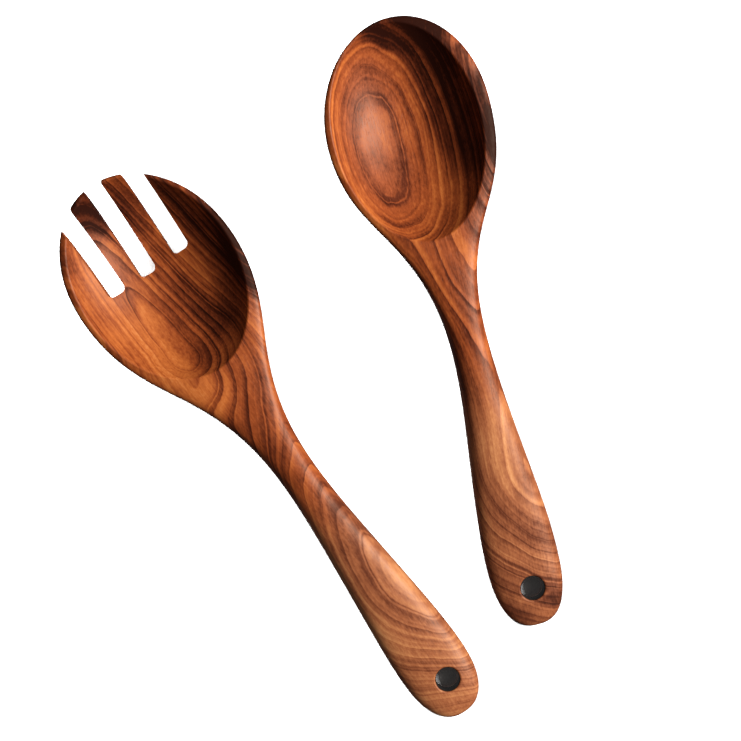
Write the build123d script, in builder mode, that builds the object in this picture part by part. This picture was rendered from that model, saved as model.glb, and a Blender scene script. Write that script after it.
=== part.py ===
from build123d import *
import math
import os
from dataclasses import dataclass

# A pair of carved salad servers, a spoon and a four-tined fork, lying side by side.
# All lengths are in mm. Each server is modelled along +Y with its handle end at y = 0,
# its hollow facing +Z, and is then laid in its place in the row.


@dataclass
class Blank:
    """The outline of one server seen from above, and the way it was bent by hand."""

    length: float
    head_width: float
    neck_width: float
    grip_width: float
    grip_at: float
    neck_at: float
    head_at: float
    end_fullness: float
    bend: list


# each bend is (share of the length, mm toward +X)
SPOON = Blank(length=257.4, head_width=69.0, neck_width=15.7, grip_width=30.6,
              grip_at=29.6, neck_at=119.0, head_at=213.4, end_fullness=2.55,
              bend=[(0.0, 0.0), (0.46, 0.0), (0.62, -1.6), (0.72, -2.3), (0.83, -2.5), (1.0, -0.4)])
FORK = Blank(length=266.0, head_width=71.2, neck_width=15.7, grip_width=29.9,
             grip_at=24.8, neck_at=120.2, head_at=221.0, end_fullness=2.35,
             bend=[(0.0, -0.7), (0.2, 0.0), (0.62, 0.1), (0.83, 0.0), (1.0, -0.8)])

# side profile: (share of the length, mm)
MID_HEIGHT = [(0.0, 5.6), (0.1, 6.3), (0.27, 10.8), (0.45, 15.4), (0.61, 19.3), (0.824, 22.3), (1.0, 24.3)]
CROWN = [(0.0, 5.9), (0.1, 6.9), (0.27, 8.2), (0.45, 8.0), (0.57, 5.6), (0.69, 3.6), (0.824, 3.1), (1.0, 3.1)]
BELLY = [(0.0, 5.5), (0.1, 6.2), (0.27, 6.3), (0.45, 6.8), (0.54, 8.6), (0.61, 12.0), (0.69, 17.4)]
BELLY += [(0.765, 21.1), (0.824, 22.2), (1.0, 22.4)]
# fullness of the underside: 0.7 is a flat back with round flanks, 0 is an even bowl
BACK_FULLNESS = [(0.0, 0.7), (0.45, 0.6), (0.69, 0.1), (0.824, 0.0), (1.0, 0.0)]
# fullness of the top: 0.9 is flat with round shoulders, 0.4 is an even crown
TOP_FULLNESS = [(0.0, 0.55), (0.27, 0.4), (0.47, 0.45), (0.6, 0.85), (0.69, 0.9), (1.0, 0.9)]


@dataclass
class Hollow:
    """The scooped bowl of one server, measured at the level of its rim."""

    back_end: float
    rim_left: float
    rim_right: float
    rim_front: float
    turn: float


SPOON_BOWL = Hollow(back_end=164.2, rim_left=2.2, rim_right=5.0, rim_front=2.4, turn=0.9)
FORK_BOWL = Hollow(back_end=174.3, rim_left=2.0, rim_right=2.0, rim_front=2.2, turn=-1.5)
RIM_LEVEL = 25.0
BOWL_DEPTH = 17.0
# the bowl is the lower part of an ellipsoid whose middle is this far above the rim
ELLIPSOID_RISE = 15.0
BOWL_TILT = 0.5
RIM_ROUNDING = 0.8

SLOT_WIDTH = 7.8
SLOT_CORNER = 2.4
SLOT_BOTTOM = 224.7
# (middle of the slot's bottom across the fork, lean toward +X in degrees)
SLOTS = [(-17.9, 1.4), (-2.8, 3.4), (14.0, 3.2)]
# the middle tines are rounded in plan, all but the second one's corner next to the third
TINE_CORNER = 2.2

HOLE_DIAMETER = 10.0
HOLE_FROM_END = 16.0
HOLE_OFF_CENTRE = 1.2
HOLE_ROUNDING = 0.8

# where the spoon lies, seen from the fork's handle end
SPOON_AT = (44.9, 12.0)
SPOON_TURN = 21.25


def along(knots, share):
    """Value of a smooth curve through the knots, at this share of the length."""
    count = len(knots)
    slopes = []
    for i in range(count):
        before = knots[max(i - 1, 0)]
        after = knots[min(i + 1, count - 1)]
        slopes.append((after[1] - before[1]) / (after[0] - before[0]))
    for i in range(count - 1):
        if share <= knots[i + 1][0] or i == count - 2:
            span = knots[i + 1][0] - knots[i][0]
            t = (share - knots[i][0]) / span
            start = (1 + 2 * t) * (1 - t) ** 2 * knots[i][1] + t * (1 - t) ** 2 * span * slopes[i]
            end = t * t * (3 - 2 * t) * knots[i + 1][1] + t * t * (t - 1) * span * slopes[i + 1]
            return start + end


def bezier_point(start, handle_1, handle_2, end, t):
    """A point of the flat cubic curve that draws one stretch of the outline."""
    weights = ((1 - t) ** 3, 3 * (1 - t) ** 2 * t, 3 * (1 - t) * t * t, t ** 3)
    points = (start, handle_1, handle_2, end)
    return tuple(sum(w * p[k] for w, p in zip(weights, points)) for k in (0, 1))


def stations(blank):
    """(y, half width, end factor) for every cross-section, from the handle end to the tip."""
    grip = (blank.grip_at, blank.grip_width / 2)
    neck = (blank.neck_at, blank.neck_width / 2)
    head = (blank.head_at, blank.head_width / 2)
    result = []
    for angle in (7, 18, 32, 48, 66):
        across = math.sin(math.radians(angle)) ** (2 / blank.end_fullness)
        back = math.cos(math.radians(angle)) ** (2 / blank.end_fullness)
        result.append((grip[0] * (1 - back), grip[1] * across, across ** 0.8))
    result.append((*grip, 1.0))
    for t in (0.3, 0.65, 1.0):
        result.append((*bezier_point(grip, (grip[0] + 24.5, grip[1]), (neck[0] - 27, neck[1]), neck, t), 1.0))
    for t in (0.22, 0.4, 0.55, 0.7, 0.85, 1.0):
        result.append((*bezier_point(neck, (neck[0] + 54, neck[1]), (head[0] - 42, head[1]), head, t), 1.0))
    for angle in (18, 35, 50, 63, 74, 83):
        across = math.cos(math.radians(angle))
        forward = math.sin(math.radians(angle))
        result.append((head[0] + (blank.length - head[0]) * forward, head[1] * across, across))
    return result


def cross_section(blank, y, half, factor):
    """One upright cross-section: a crowned top and a rounder underside meeting at the widest line."""
    share = y / blank.length
    middle = along(blank.bend, share)
    level = along(MID_HEIGHT, share)
    crown = along(CROWN, share) * (factor if y < blank.neck_at else factor ** 0.4)
    belly = along(BELLY, share) * factor
    top = level + crown * 16 / 15
    bottom = level - belly * 16 / 15
    inner_top = along(TOP_FULLNESS, share) * half
    inner_back = along(BACK_FULLNESS, share) * half
    left = middle - half
    right = middle + half
    with BuildLine(Plane.XZ.offset(-y)):
        upper = Bezier((left, level), (left, top), (middle - inner_top, top),
                       (middle + inner_top, top), (right, top), (right, level))
        lower = Bezier((right, level), (right, bottom), (middle + inner_back, bottom),
                       (middle - inner_back, bottom), (left, bottom), (left, level))
    return Face(Wire([upper, lower]))


def server_body(blank):
    """The solid outside of one server, before it is hollowed."""
    sections = [cross_section(blank, *station) for station in stations(blank)]
    tip = Vertex(along(blank.bend, 1.0), blank.length, along(MID_HEIGHT, 1.0))
    butt = Vertex(along(blank.bend, 0.0), 0, along(MID_HEIGHT, 0.0))
    with BuildPart() as body:
        loft([tip, *reversed(sections), butt], clean=False)
    return body.part


def hollow_cutter(blank, bowl):
    """The ellipsoid that cuts the bowl, tilted a little so that it is deepest toward the tip."""
    radius_down = BOWL_DEPTH + ELLIPSOID_RISE
    share_at_rim = math.sqrt(1 - (ELLIPSOID_RISE / radius_down) ** 2)
    front_end = blank.length - bowl.rim_front
    half_width = (blank.head_width - bowl.rim_left - bowl.rim_right) / 2
    half_length = (front_end - bowl.back_end) / 2
    middle = along(blank.bend, blank.head_at / blank.length) + (bowl.rim_left - bowl.rim_right) / 2
    with BuildPart() as cutter:
        Sphere(radius=1)
        scale(by=(half_width / share_at_rim, half_length / share_at_rim, radius_down))
    place = (middle, front_end - half_length, RIM_LEVEL + ELLIPSOID_RISE)
    return cutter.part.moved(Location(place, (BOWL_TILT, 0, bowl.turn)))


def rim_edges(part, bowl):
    """The long loop where the hollow meets the top."""
    return [e for e in part.edges() if e.length > 150 and e.bounding_box().min.Y > bowl.back_end - 6]


def hole_edges(part):
    """The upper and lower edges of the hanging hole."""
    return [e for e in part.edges() if 25 < e.length < 40 and e.bounding_box().max.Y < 2 * HOLE_FROM_END]


def tine_plan(blank):
    """The fork in plan with its slots cut, a little wider than the blank all round."""
    clear = 0.3
    nose = blank.length - blank.head_at
    with BuildSketch(Plane.XY.offset(-5)) as plan:
        with Locations((0, blank.head_at)):
            Ellipse(blank.head_width / 2 + 2 * clear, nose + clear)
            Rectangle(2 * blank.head_width, 2 * blank.length, align=(Align.CENTER, Align.MAX))
        for middle, lean in SLOTS:
            with Locations(Location((middle, SLOT_BOTTOM, 0), (0, 0, -lean))):
                Rectangle(SLOT_WIDTH, 2 * nose, align=(Align.CENTER, Align.MIN), mode=Mode.SUBTRACT)
        slot_corners = [v for v in plan.vertices() if abs(v.Y - SLOT_BOTTOM) < 1]
        fillet(slot_corners, radius=SLOT_CORNER)
        tips = [v for v in plan.vertices() if v.Y > SLOT_BOTTOM + 10]
        tips.sort(key=lambda tip: tip.X)
        # the first and the last tip are the points of the outer tines
        fillet([tips[1], tips[3], tips[4]], radius=TINE_CORNER)
    return plan.sketch


def build_spoon():
    with BuildPart() as salad_spoon:
        add(server_body(SPOON))
        add(hollow_cutter(SPOON, SPOON_BOWL), mode=Mode.SUBTRACT)
        fillet(rim_edges(salad_spoon, SPOON_BOWL), radius=RIM_ROUNDING)
        with Locations((HOLE_OFF_CENTRE, HOLE_FROM_END, 0)):
            Cylinder(radius=HOLE_DIAMETER / 2, height=60, mode=Mode.SUBTRACT)
        fillet(hole_edges(salad_spoon), radius=HOLE_ROUNDING)
    return salad_spoon


def build_fork():
    with BuildPart() as salad_fork:
        add(server_body(FORK))
        add(hollow_cutter(FORK, FORK_BOWL), mode=Mode.SUBTRACT)
        fillet(rim_edges(salad_fork, FORK_BOWL), radius=RIM_ROUNDING)
        add(tine_plan(FORK))
        extrude(amount=50, mode=Mode.INTERSECT)
        with Locations((HOLE_OFF_CENTRE, HOLE_FROM_END, 0)):
            Cylinder(radius=HOLE_DIAMETER / 2, height=60, mode=Mode.SUBTRACT)
        fillet(hole_edges(salad_fork), radius=HOLE_ROUNDING)
    return salad_fork


def laid_out(part, x, y, turn, name):
    """The part turned clockwise seen from above, set at x, y, with its lowest point on z = 0."""
    placed = part.moved(Location((x, y, 0), (0, 0, -turn)))
    placed = placed.moved(Location((0, 0, -placed.bounding_box().min.Z)))
    placed.label = name
    return placed


salad_spoon = build_spoon()
salad_fork = build_fork()

# the origin is at the middle of the ground under both servers
first_spoon = laid_out(salad_spoon.part, *SPOON_AT, SPOON_TURN, "salad_spoon")
first_fork = laid_out(salad_fork.part, 0, 0, 0, "salad_fork")
box = first_spoon.bounding_box().add(first_fork.bounding_box())
shift = Location((-(box.min.X + box.max.X) / 2, -(box.min.Y + box.max.Y) / 2, 0))
salad_spoon.part = first_spoon.moved(shift)
salad_fork.part = first_fork.moved(shift)
salad_spoon.part.label = "salad_spoon"
salad_fork.part.label = "salad_fork"

os.makedirs("parts", exist_ok=True)
export_step(salad_spoon.part, "parts/salad_spoon.step")
export_step(salad_fork.part, "parts/salad_fork.step")
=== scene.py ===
import math
from dataclasses import dataclass

import bpy
from mathutils import Matrix, Vector

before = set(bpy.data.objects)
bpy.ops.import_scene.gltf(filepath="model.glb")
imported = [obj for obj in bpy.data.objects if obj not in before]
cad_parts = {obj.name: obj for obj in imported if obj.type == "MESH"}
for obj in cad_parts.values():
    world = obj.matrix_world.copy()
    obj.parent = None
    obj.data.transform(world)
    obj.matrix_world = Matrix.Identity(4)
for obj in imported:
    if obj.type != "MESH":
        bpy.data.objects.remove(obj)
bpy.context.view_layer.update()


# ---------- node helpers ----------

class Graph:
    """Builds one material's nodes; values are sockets or plain numbers."""

    def __init__(self, name):
        self.material = bpy.data.materials.new(name)
        self.material.use_nodes = True
        self.tree = self.material.node_tree
        self.shader = next(n for n in self.tree.nodes if n.type == "BSDF_PRINCIPLED")

    def new(self, kind, **settings):
        node = self.tree.nodes.new(kind)
        for key, value in settings.items():
            setattr(node, key, value)
        return node

    def put(self, socket, value):
        if isinstance(value, bpy.types.NodeSocket):
            self.tree.links.new(value, socket)
        elif value is not None:
            socket.default_value = value

    def math(self, operation, a, b=None, c=None):
        node = self.new("ShaderNodeMath", operation=operation)
        for socket, value in zip(node.inputs, (a, b, c)):
            self.put(socket, value)
        return node.outputs[0]

    def vector(self, operation, a, b):
        node = self.new("ShaderNodeVectorMath", operation=operation)
        self.put(node.inputs[0], a)
        self.put(node.inputs[1], b)
        return node.outputs[0]

    def separate(self, value):
        node = self.new("ShaderNodeSeparateXYZ")
        self.put(node.inputs[0], value)
        return node.outputs

    def noise(self, where, scale, detail=2.0, roughness=0.5):
        """Noise from 0 to 1 whose clouds are about 1/scale large along each axis."""
        node = self.new("ShaderNodeTexNoise", noise_dimensions="3D")
        self.put(node.inputs["Vector"], self.vector("MULTIPLY", where, scale))
        self.put(node.inputs["Scale"], 1.0)
        self.put(node.inputs["Detail"], detail)
        self.put(node.inputs["Roughness"], roughness)
        return node.outputs["Fac"]

    def line_noise(self, value, scale, detail, roughness=0.5):
        """Noise from 0 to 1 along one value."""
        node = self.new("ShaderNodeTexNoise", noise_dimensions="1D")
        self.put(node.inputs["W"], self.math("MULTIPLY", value, scale))
        self.put(node.inputs["Scale"], 1.0)
        self.put(node.inputs["Detail"], detail)
        self.put(node.inputs["Roughness"], roughness)
        return node.outputs["Fac"]

    def centred(self, noise, reach):
        """Noise moved to lie around 0, from -reach/2 to reach/2."""
        return self.math("MULTIPLY", self.math("SUBTRACT", noise, 0.5), reach)

    def step(self, value, low, high):
        """Smooth step from 0 at low to 1 at high."""
        node = self.new("ShaderNodeMapRange", interpolation_type="SMOOTHSTEP", clamp=True)
        self.put(node.inputs["Value"], value)
        self.put(node.inputs["From Min"], low)
        self.put(node.inputs["From Max"], high)
        return node.outputs["Result"]

    def remap(self, value, low, high, to_low, to_high):
        node = self.new("ShaderNodeMapRange", clamp=True)
        self.put(node.inputs["Value"], value)
        self.put(node.inputs["From Min"], low)
        self.put(node.inputs["From Max"], high)
        self.put(node.inputs["To Min"], to_low)
        self.put(node.inputs["To Max"], to_high)
        return node.outputs["Result"]

    def curve(self, value, knots, reach, low, high):
        """A smooth curve through (value, result) knots: values from 0 to reach, results from low to high."""
        node = self.new("ShaderNodeFloatCurve")
        line = node.mapping.curves[0]
        points = [(at / reach, (result - low) / (high - low)) for at, result in knots]
        while len(line.points) < len(points):
            line.points.new(0.5, 0.5)
        for point, place in zip(line.points, points):
            point.location = place
        node.mapping.update()
        self.put(node.inputs["Value"], self.math("DIVIDE", value, reach))
        return self.math("MULTIPLY_ADD", node.outputs["Value"], high - low, low)

    def ramp(self, value, stops):
        node = self.new("ShaderNodeValToRGB")
        ramp = node.color_ramp
        while len(ramp.elements) < len(stops):
            ramp.elements.new(0.5)
        for element, (at, colour) in zip(ramp.elements, stops):
            element.position = at
            element.color = (*colour, 1.0)
        self.put(node.inputs["Fac"], value)
        return node.outputs["Color"]

    def mix(self, amount, a, b):
        node = self.new("ShaderNodeMix", data_type="RGBA")
        self.put(node.inputs["Factor"], amount)
        for socket, value in ((node.inputs[6], a), (node.inputs[7], b)):
            self.put(socket, (*value, 1.0) if isinstance(value, tuple) else value)
        return node.outputs[2]

    def local(self, placement, turn):
        """Row coordinates turned into the server's own millimetres: y along it from the handle end."""
        back = Matrix.Rotation(math.radians(turn), 3, "Z")
        node = self.new("ShaderNodeMapping")
        node.inputs["Location"].default_value = -(back @ Vector((*placement, 0.0)))
        node.inputs["Rotation"].default_value = (0.0, 0.0, math.radians(turn))
        node.inputs["Scale"].default_value = (1000.0, 1000.0, 1000.0)
        coords = self.new("ShaderNodeTexCoord")
        self.put(node.inputs["Vector"], coords.outputs["Object"])
        return node.outputs["Vector"]


# ---------- wood ----------

# from the dark late wood to the palest early wood, in the bowls and in the handles
BOWL_TONES = [(0.0, (0.020, 0.0045, 0.0025)), (0.25, (0.085, 0.0150, 0.0045)), (0.50, (0.235, 0.046, 0.0095)),
              (0.75, (0.41, 0.105, 0.021)), (1.0, (0.56, 0.205, 0.060))]
HANDLE_TONES = [(0.0, (0.040, 0.0110, 0.0060)), (0.25, (0.125, 0.032, 0.0130)), (0.50, (0.27, 0.082, 0.030)),
                (0.75, (0.43, 0.165, 0.060)), (1.0, (0.58, 0.28, 0.120))]
# painted shade for the wall of the hanging hole
HOLE_SHADE = (0.006, 0.004, 0.004)

# a length that both servers stay within, and how far curves may go across or down, in mm
REACH = 270.0
SPREAD = 50.0
# along a server, in mm: where the handle's tones turn into the bowl's, and where the dark heart, partly
# painted shade, sets in
HANDLE_TO_BOWL = (78.0, 122.0)
HEART_AND_SHADE_FROM = (162.0, 200.0)
# the hanging hole, in mm, and how far past its wall the painted shade reaches
HOLE_X = 1.2
HOLE_Y = 16.0
HOLE_RADIUS = 5.0
HOLE_SHADE_REACH = 0.4
# where the grain starts to swirl toward the butt, and how fast
SWIRL_Y = 68.0
SWIRL = 0.0085

# where each server's handle end lies in the row frame, in mm, and the spoon's turn in degrees
FORK_AT = (-60.507, -132.893)
SPOON_AT = (44.9 - 60.507, 12.0 - 132.893)
SPOON_TURN = 21.25


@dataclass
class Cut:
    """How one server was cut from its log, in its own mm: y from the handle end, x to the right, z up."""

    pith: list              # (y, x, z) of the middle of the growth rings
    ring_rate: float        # growth rings per mm
    plain_x: float          # left of this x the ring lines fade away
    tone: list              # (y, how pale the wood is there)
    heart_and_shade_border: list             # (y, x) of the left border of the dark heart and its painted shade
    heart_and_shade_strength: float   # how dark the heart and its painted shade are
    patches_and_painted_light: list           # (x, y, half width, half length, how much darker, or paler below 0); some are painted shade or painted light


def ring_radius(g, x, y, z, seeded, cut):
    """Distance from the wandering pith of the log, with a grain that swirls crosswise toward the butt."""
    wander_x = g.centred(g.noise(seeded, (0.022, 0.009, 0.022), 1.5), 11.0)
    wander_z = g.centred(g.noise(seeded, (0.015, 0.012, 0.015), 1.0), 6.0)
    ripple = g.centred(g.noise(seeded, (0.11, 0.030, 0.11), 2.5), 2.4)
    pith_x = g.curve(y, [(at, px) for at, px, pz in cut.pith], REACH, -SPREAD, SPREAD)
    pith_z = g.curve(y, [(at, pz) for at, px, pz in cut.pith], REACH, -SPREAD, SPREAD)
    dx = g.math("SUBTRACT", g.math("ADD", x, wander_x), pith_x)
    dz = g.math("SUBTRACT", g.math("ADD", z, wander_z), pith_z)
    radius = g.math("SQRT", g.math("ADD", g.math("MULTIPLY", dx, dx), g.math("MULTIPLY", dz, dz)))
    radius = g.math("ADD", radius, ripple)
    past_grip = g.math("MAXIMUM", g.math("SUBTRACT", SWIRL_Y, y), 0.0)
    return g.math("MULTIPLY_ADD", g.math("MULTIPLY", past_grip, past_grip), -SWIRL, radius)


def ring_lines(g, x, y, radius, rings, seeded, cut):
    """Dark lines of late wood that come and go along the grain, softer on the handle."""
    cycle = g.math("FRACT", g.math("MULTIPLY_ADD", rings, 1.3, g.math("MULTIPLY", radius, cut.ring_rate)))
    late = g.math("MULTIPLY", g.step(cycle, 0.45, 0.86), g.math("SUBTRACT", 1.0, g.step(cycle, 0.88, 1.0)))
    fading = g.remap(g.noise(seeded, (0.045, 0.022, 0.045), 1.0), 0.36, 0.60, 0.30, 1.0)
    fading = g.math("MULTIPLY", fading, g.remap(x, cut.plain_x - 6.0, cut.plain_x, 0.30, 1.0))
    fading = g.math("MULTIPLY", fading, g.remap(y, 70.0, 125.0, 0.60, 1.0))
    return g.math("MULTIPLY", late, fading)


def dark_heart_and_painted_shade(g, x, y, seeded, cut):
    """1 in the dark heart of the log along the right side of the bowl; it is partly dark wood and partly
    painted shade on the wall facing away from the key light.
    """
    border = g.curve(y, cut.heart_and_shade_border, REACH, -SPREAD, SPREAD)
    frayed = g.math("ADD", x, g.centred(g.noise(seeded, (0.06, 0.022, 0.06), 3.0), 12.0))
    inside = g.step(g.math("SUBTRACT", frayed, border), -3.0, 8.0)
    return g.math("MULTIPLY", inside, g.step(y, *HEART_AND_SHADE_FROM))


def with_patches_and_painted_light(g, x, y, seeded, tone, cut):
    """The tone with single darker or paler patches, which have cloudy edges; some of them are painted shade
    or painted light.
    """
    cloud = g.centred(g.noise(seeded, (0.13, 0.07, 0.13), 3.0), 0.8)
    for at_x, at_y, half_width, half_length, strength in cut.patches_and_painted_light:
        across = g.math("DIVIDE", g.math("SUBTRACT", x, at_x), half_width)
        lengthwise = g.math("DIVIDE", g.math("SUBTRACT", y, at_y), half_length)
        away = g.math("ADD", g.math("MULTIPLY", across, across), g.math("MULTIPLY", lengthwise, lengthwise))
        inside = g.math("SUBTRACT", 1.0, g.step(g.math("ADD", g.math("SQRT", away), cloud), 0.45, 1.25))
        tone = g.math("MULTIPLY_ADD", inside, -strength, tone)
    return tone


def with_hole_shade(g, x, y, colour):
    """The colour with painted shade on the drilled wall of the hole and just past its edge."""
    hx = g.math("SUBTRACT", x, HOLE_X)
    hy = g.math("SUBTRACT", y, HOLE_Y)
    from_hole = g.math("SQRT", g.math("ADD", g.math("MULTIPLY", hx, hx), g.math("MULTIPLY", hy, hy)))
    # painted shade inside the hole and just past its edge
    hole_shade = g.math("SUBTRACT", 1.0, g.step(from_hole, HOLE_RADIUS, HOLE_RADIUS + HOLE_SHADE_REACH))
    return g.mix(hole_shade, colour, HOLE_SHADE)


def relief(g, seeded, fibre, fleck, pores):
    """Fine relief from the fibres, flecks and pores, and a slight unevenness from carving."""
    height = g.math("MULTIPLY_ADD", fibre, 0.05, g.math("MULTIPLY", fleck, 0.05))
    height = g.math("MULTIPLY_ADD", pores, -0.03, height)
    height = g.math("MULTIPLY_ADD", g.noise(seeded, (0.07, 0.05, 0.07), 1.0), 0.8, height)
    bump = g.new("ShaderNodeBump")
    bump.inputs["Strength"].default_value = 0.6
    bump.inputs["Distance"].default_value = 0.001
    g.put(bump.inputs["Height"], height)
    return bump.outputs["Normal"]


def wood(name, placement, turn, cut, seed):
    """Oiled hardwood, whose growth rings run round the pith of the log."""
    g = Graph(name)
    p = g.local(placement, turn)
    x, y, z = g.separate(p)
    seeded = g.vector("ADD", p, (seed, seed * 1.7, seed * 0.6))
    radius = ring_radius(g, x, y, z, seeded, cut)

    broad = g.line_noise(radius, 0.13, 1.0)
    rings = g.line_noise(radius, 0.50, 2.5, 0.62)
    late = ring_lines(g, x, y, radius, rings, seeded, cut)
    fibre = g.noise(seeded, (1.5, 0.055, 1.5), 3.0, 0.62)
    fleck = g.noise(seeded, (1.05, 0.50, 1.05), 2.0, 0.6)
    pores = g.step(g.noise(seeded, (3.6, 0.22, 3.6), 1.0, 0.4), 0.62, 0.72)
    figure = g.noise(seeded, (0.060, 0.045, 0.060), 2.0, 0.55)

    tone = g.curve(y, cut.tone, REACH, -1.0, 1.0)
    for noise, reach in ((broad, 0.72), (rings, 0.60), (fibre, 0.34), (fleck, 0.30), (figure, 0.50)):
        tone = g.math("ADD", g.centred(noise, reach), tone)
    tone = g.math("MULTIPLY_ADD", late, -0.30, tone)
    tone = g.math("MULTIPLY_ADD", pores, -0.06, tone)
    # the dark heart: partly dark wood, partly painted shade on the bowls' right walls, away from the key
    tone = g.math("MULTIPLY_ADD", dark_heart_and_painted_shade(g, x, y, seeded, cut), -cut.heart_and_shade_strength, tone)
    tone = with_patches_and_painted_light(g, x, y, seeded, tone, cut)
    colour = g.mix(g.step(y, *HANDLE_TO_BOWL), g.ramp(tone, HANDLE_TONES), g.ramp(tone, BOWL_TONES))

    # the base colour, with painted shade in the hanging hole
    g.put(g.shader.inputs["Base Color"], with_hole_shade(g, x, y, colour))
    g.put(g.shader.inputs["Roughness"], g.remap(g.math("ADD", fibre, fleck), 0.5, 1.5, 0.36, 0.56))
    # the dark wood takes less of the oil's shine
    g.put(g.shader.inputs["Specular IOR Level"], g.remap(tone, 0.05, 0.50, 0.05, 0.28))
    g.shader.inputs["Specular Tint"].default_value = (1.0, 0.78, 0.60, 1.0)
    g.put(g.shader.inputs["Normal"], relief(g, seeded, fibre, fleck, pores))
    return g.material


# the spoon's pith lies below its bowl, so the rings show as nested ovals there
spoon_cut = Cut(
    pith=[(0, -30, -22), (60, -29, -20), (110, -24, -18), (165, -27, -25.5), (208, -29, -28.5),
          (270, -29, -27)],
    ring_rate=0.26,
    plain_x=-SPREAD,
    # toward the tip (y 246 on) the tone falls and the heart's border swings left: painted shade of the bowl's
    # front wall
    tone=[(0, 0.38), (20, 0.38), (45, 0.46), (75, 0.57), (105, 0.48), (150, 0.46), (180, 0.54), (225, 0.54),
          (246, 0.42), (270, 0.30)],
    heart_and_shade_border=[(0, 8), (150, 8), (195, 8), (212, 6), (236, 3), (250, -13), (270, -24)],
    heart_and_shade_strength=0.38,
    # the patch at the butt's lower left is painted shade; the paler patches along the right rim (x 24 to
    # 33.5) are painted light where the rim faces the key; the dark patch at the back of the right wall is
    # partly painted shade
    patches_and_painted_light=[(-10, 4, 8, 9, 0.22), (9, 9, 9, 3.5, 0.20), (33.5, 219, 3.5, 11, -0.36),
             (29.5, 234, 4, 9, -0.34), (24, 244, 4.5, 5, -0.28), (31, 198, 6, 17, 0.26)])
# the fork's pith rises to its surface at the back of the bowl, left of the middle
fork_cut = Cut(
    pith=[(0, -30, -20), (60, -28, -16), (105, -20, -8), (150, -11, 4), (182, -10.5, 13), (200, -13, 7),
          (222, -16.7, 3), (245, -19, 5), (270, -21, 12)],
    ring_rate=0.30,
    plain_x=-17.0,
    tone=[(0, 0.50), (25, 0.53), (60, 0.61), (85, 0.54), (110, 0.48), (150, 0.50), (180, 0.64), (225, 0.60),
          (270, 0.48)],
    heart_and_shade_border=[(0, 8), (150, 8), (186, 8), (204, 15), (216, 19), (240, 18), (270, 18)],
    heart_and_shade_strength=0.29,
    # the dark patches at the tips of the second and third tines are partly painted shade of the front wall,
    # and the dark patch on the right tine and wall (x 34) is partly painted shade away from the key
    patches_and_painted_light=[(-9, 256, 8, 11, 0.42), (-28, 248, 5, 8, 0.20), (7, 250, 7, 14, 0.24), (1, 198, 13, 27, 0.31),
             (34, 209, 7, 25, 0.40), (21, 172, 8, 11, -0.06)])

for node, material in (("salad_spoon", wood("spoon_wood", SPOON_AT, SPOON_TURN, spoon_cut, 3.0)),
                       ("salad_fork", wood("fork_wood", FORK_AT, 0.0, fork_cut, 41.0))):
    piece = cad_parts[node]
    piece.data.materials.clear()
    piece.data.materials.append(material)
    for face in piece.data.polygons:
        face.use_smooth = True


# ---------- floor, light, camera ----------

FLOOR_HALF = 3.0


def floor_material():
    g = Graph("pale_floor")
    coords = g.new("ShaderNodeTexCoord").outputs["Object"]
    grain = g.noise(coords, (60.0, 60.0, 60.0), 3.0)
    whites = [(0.3, (0.86, 0.86, 0.855)), (0.7, (0.89, 0.89, 0.885))]
    g.put(g.shader.inputs["Base Color"], g.ramp(grain, whites))
    g.shader.inputs["Roughness"].default_value = 0.75
    return g.material


floor_mesh = bpy.data.meshes.new("floor")
floor_corners = [(FLOOR_HALF * sx, FLOOR_HALF * sy, 0) for sx, sy in ((-1, -1), (1, -1), (1, 1), (-1, 1))]
floor_mesh.from_pydata(floor_corners, [], [(0, 1, 2, 3)])
floor = bpy.data.objects.new("floor", floor_mesh)
floor_mesh.materials.append(floor_material())
bpy.context.scene.collection.objects.link(floor)


def soft_box(name, azimuth, elevation, distance, size, power, lit_only=None):
    """A square soft light aimed at the middle of the ground; lit_only is the one object it lights."""
    light = bpy.data.lights.new(name, "AREA")
    light.shape = "SQUARE"
    light.size = size
    light.energy = power
    lamp = bpy.data.objects.new(name, light)
    a, e = math.radians(azimuth), math.radians(elevation)
    lamp.location = Vector((math.cos(e) * math.cos(a), math.cos(e) * math.sin(a), math.sin(e))) * distance
    lamp.rotation_euler = (-lamp.location).to_track_quat("-Z", "Y").to_euler()
    bpy.context.scene.collection.objects.link(lamp)
    if lit_only:
        receivers = bpy.data.collections.new(name + "_lights")
        receivers.objects.link(lit_only)
        lamp.light_linking.receiver_collection = receivers


# the key lights everything; the two low lamps only whiten the floor where the key is shaded
soft_box("key", -22.0, 42.0, 1.4, 0.60, 46.0)
soft_box("floor_left", 165.0, 25.0, 1.6, 0.70, 75.0, lit_only=floor)
soft_box("floor_front", 88.0, 15.0, 1.6, 0.45, 110.0, lit_only=floor)
# the white floor is a backdrop and throws no light back on the wood
floor.visible_diffuse = False
floor.visible_glossy = False

world = bpy.data.worlds.new("studio")
world.use_nodes = True
world.node_tree.nodes["Background"].inputs["Color"].default_value = (1.0, 1.0, 1.0, 1.0)
world.node_tree.nodes["Background"].inputs["Strength"].default_value = 0.12
bpy.context.scene.world = world

camera_data = bpy.data.cameras.new("camera")
camera_data.sensor_width = 36.0
camera_data.lens = 92.5
camera = bpy.data.objects.new("camera", camera_data)
camera.location = (-0.0115, 0.0059, 0.8)
camera.rotation_euler = (0.0, 0.0, math.radians(-35.3))
bpy.context.scene.collection.objects.link(camera)
bpy.context.scene.camera = camera
bpy.context.scene.view_settings.view_transform = "Standard"
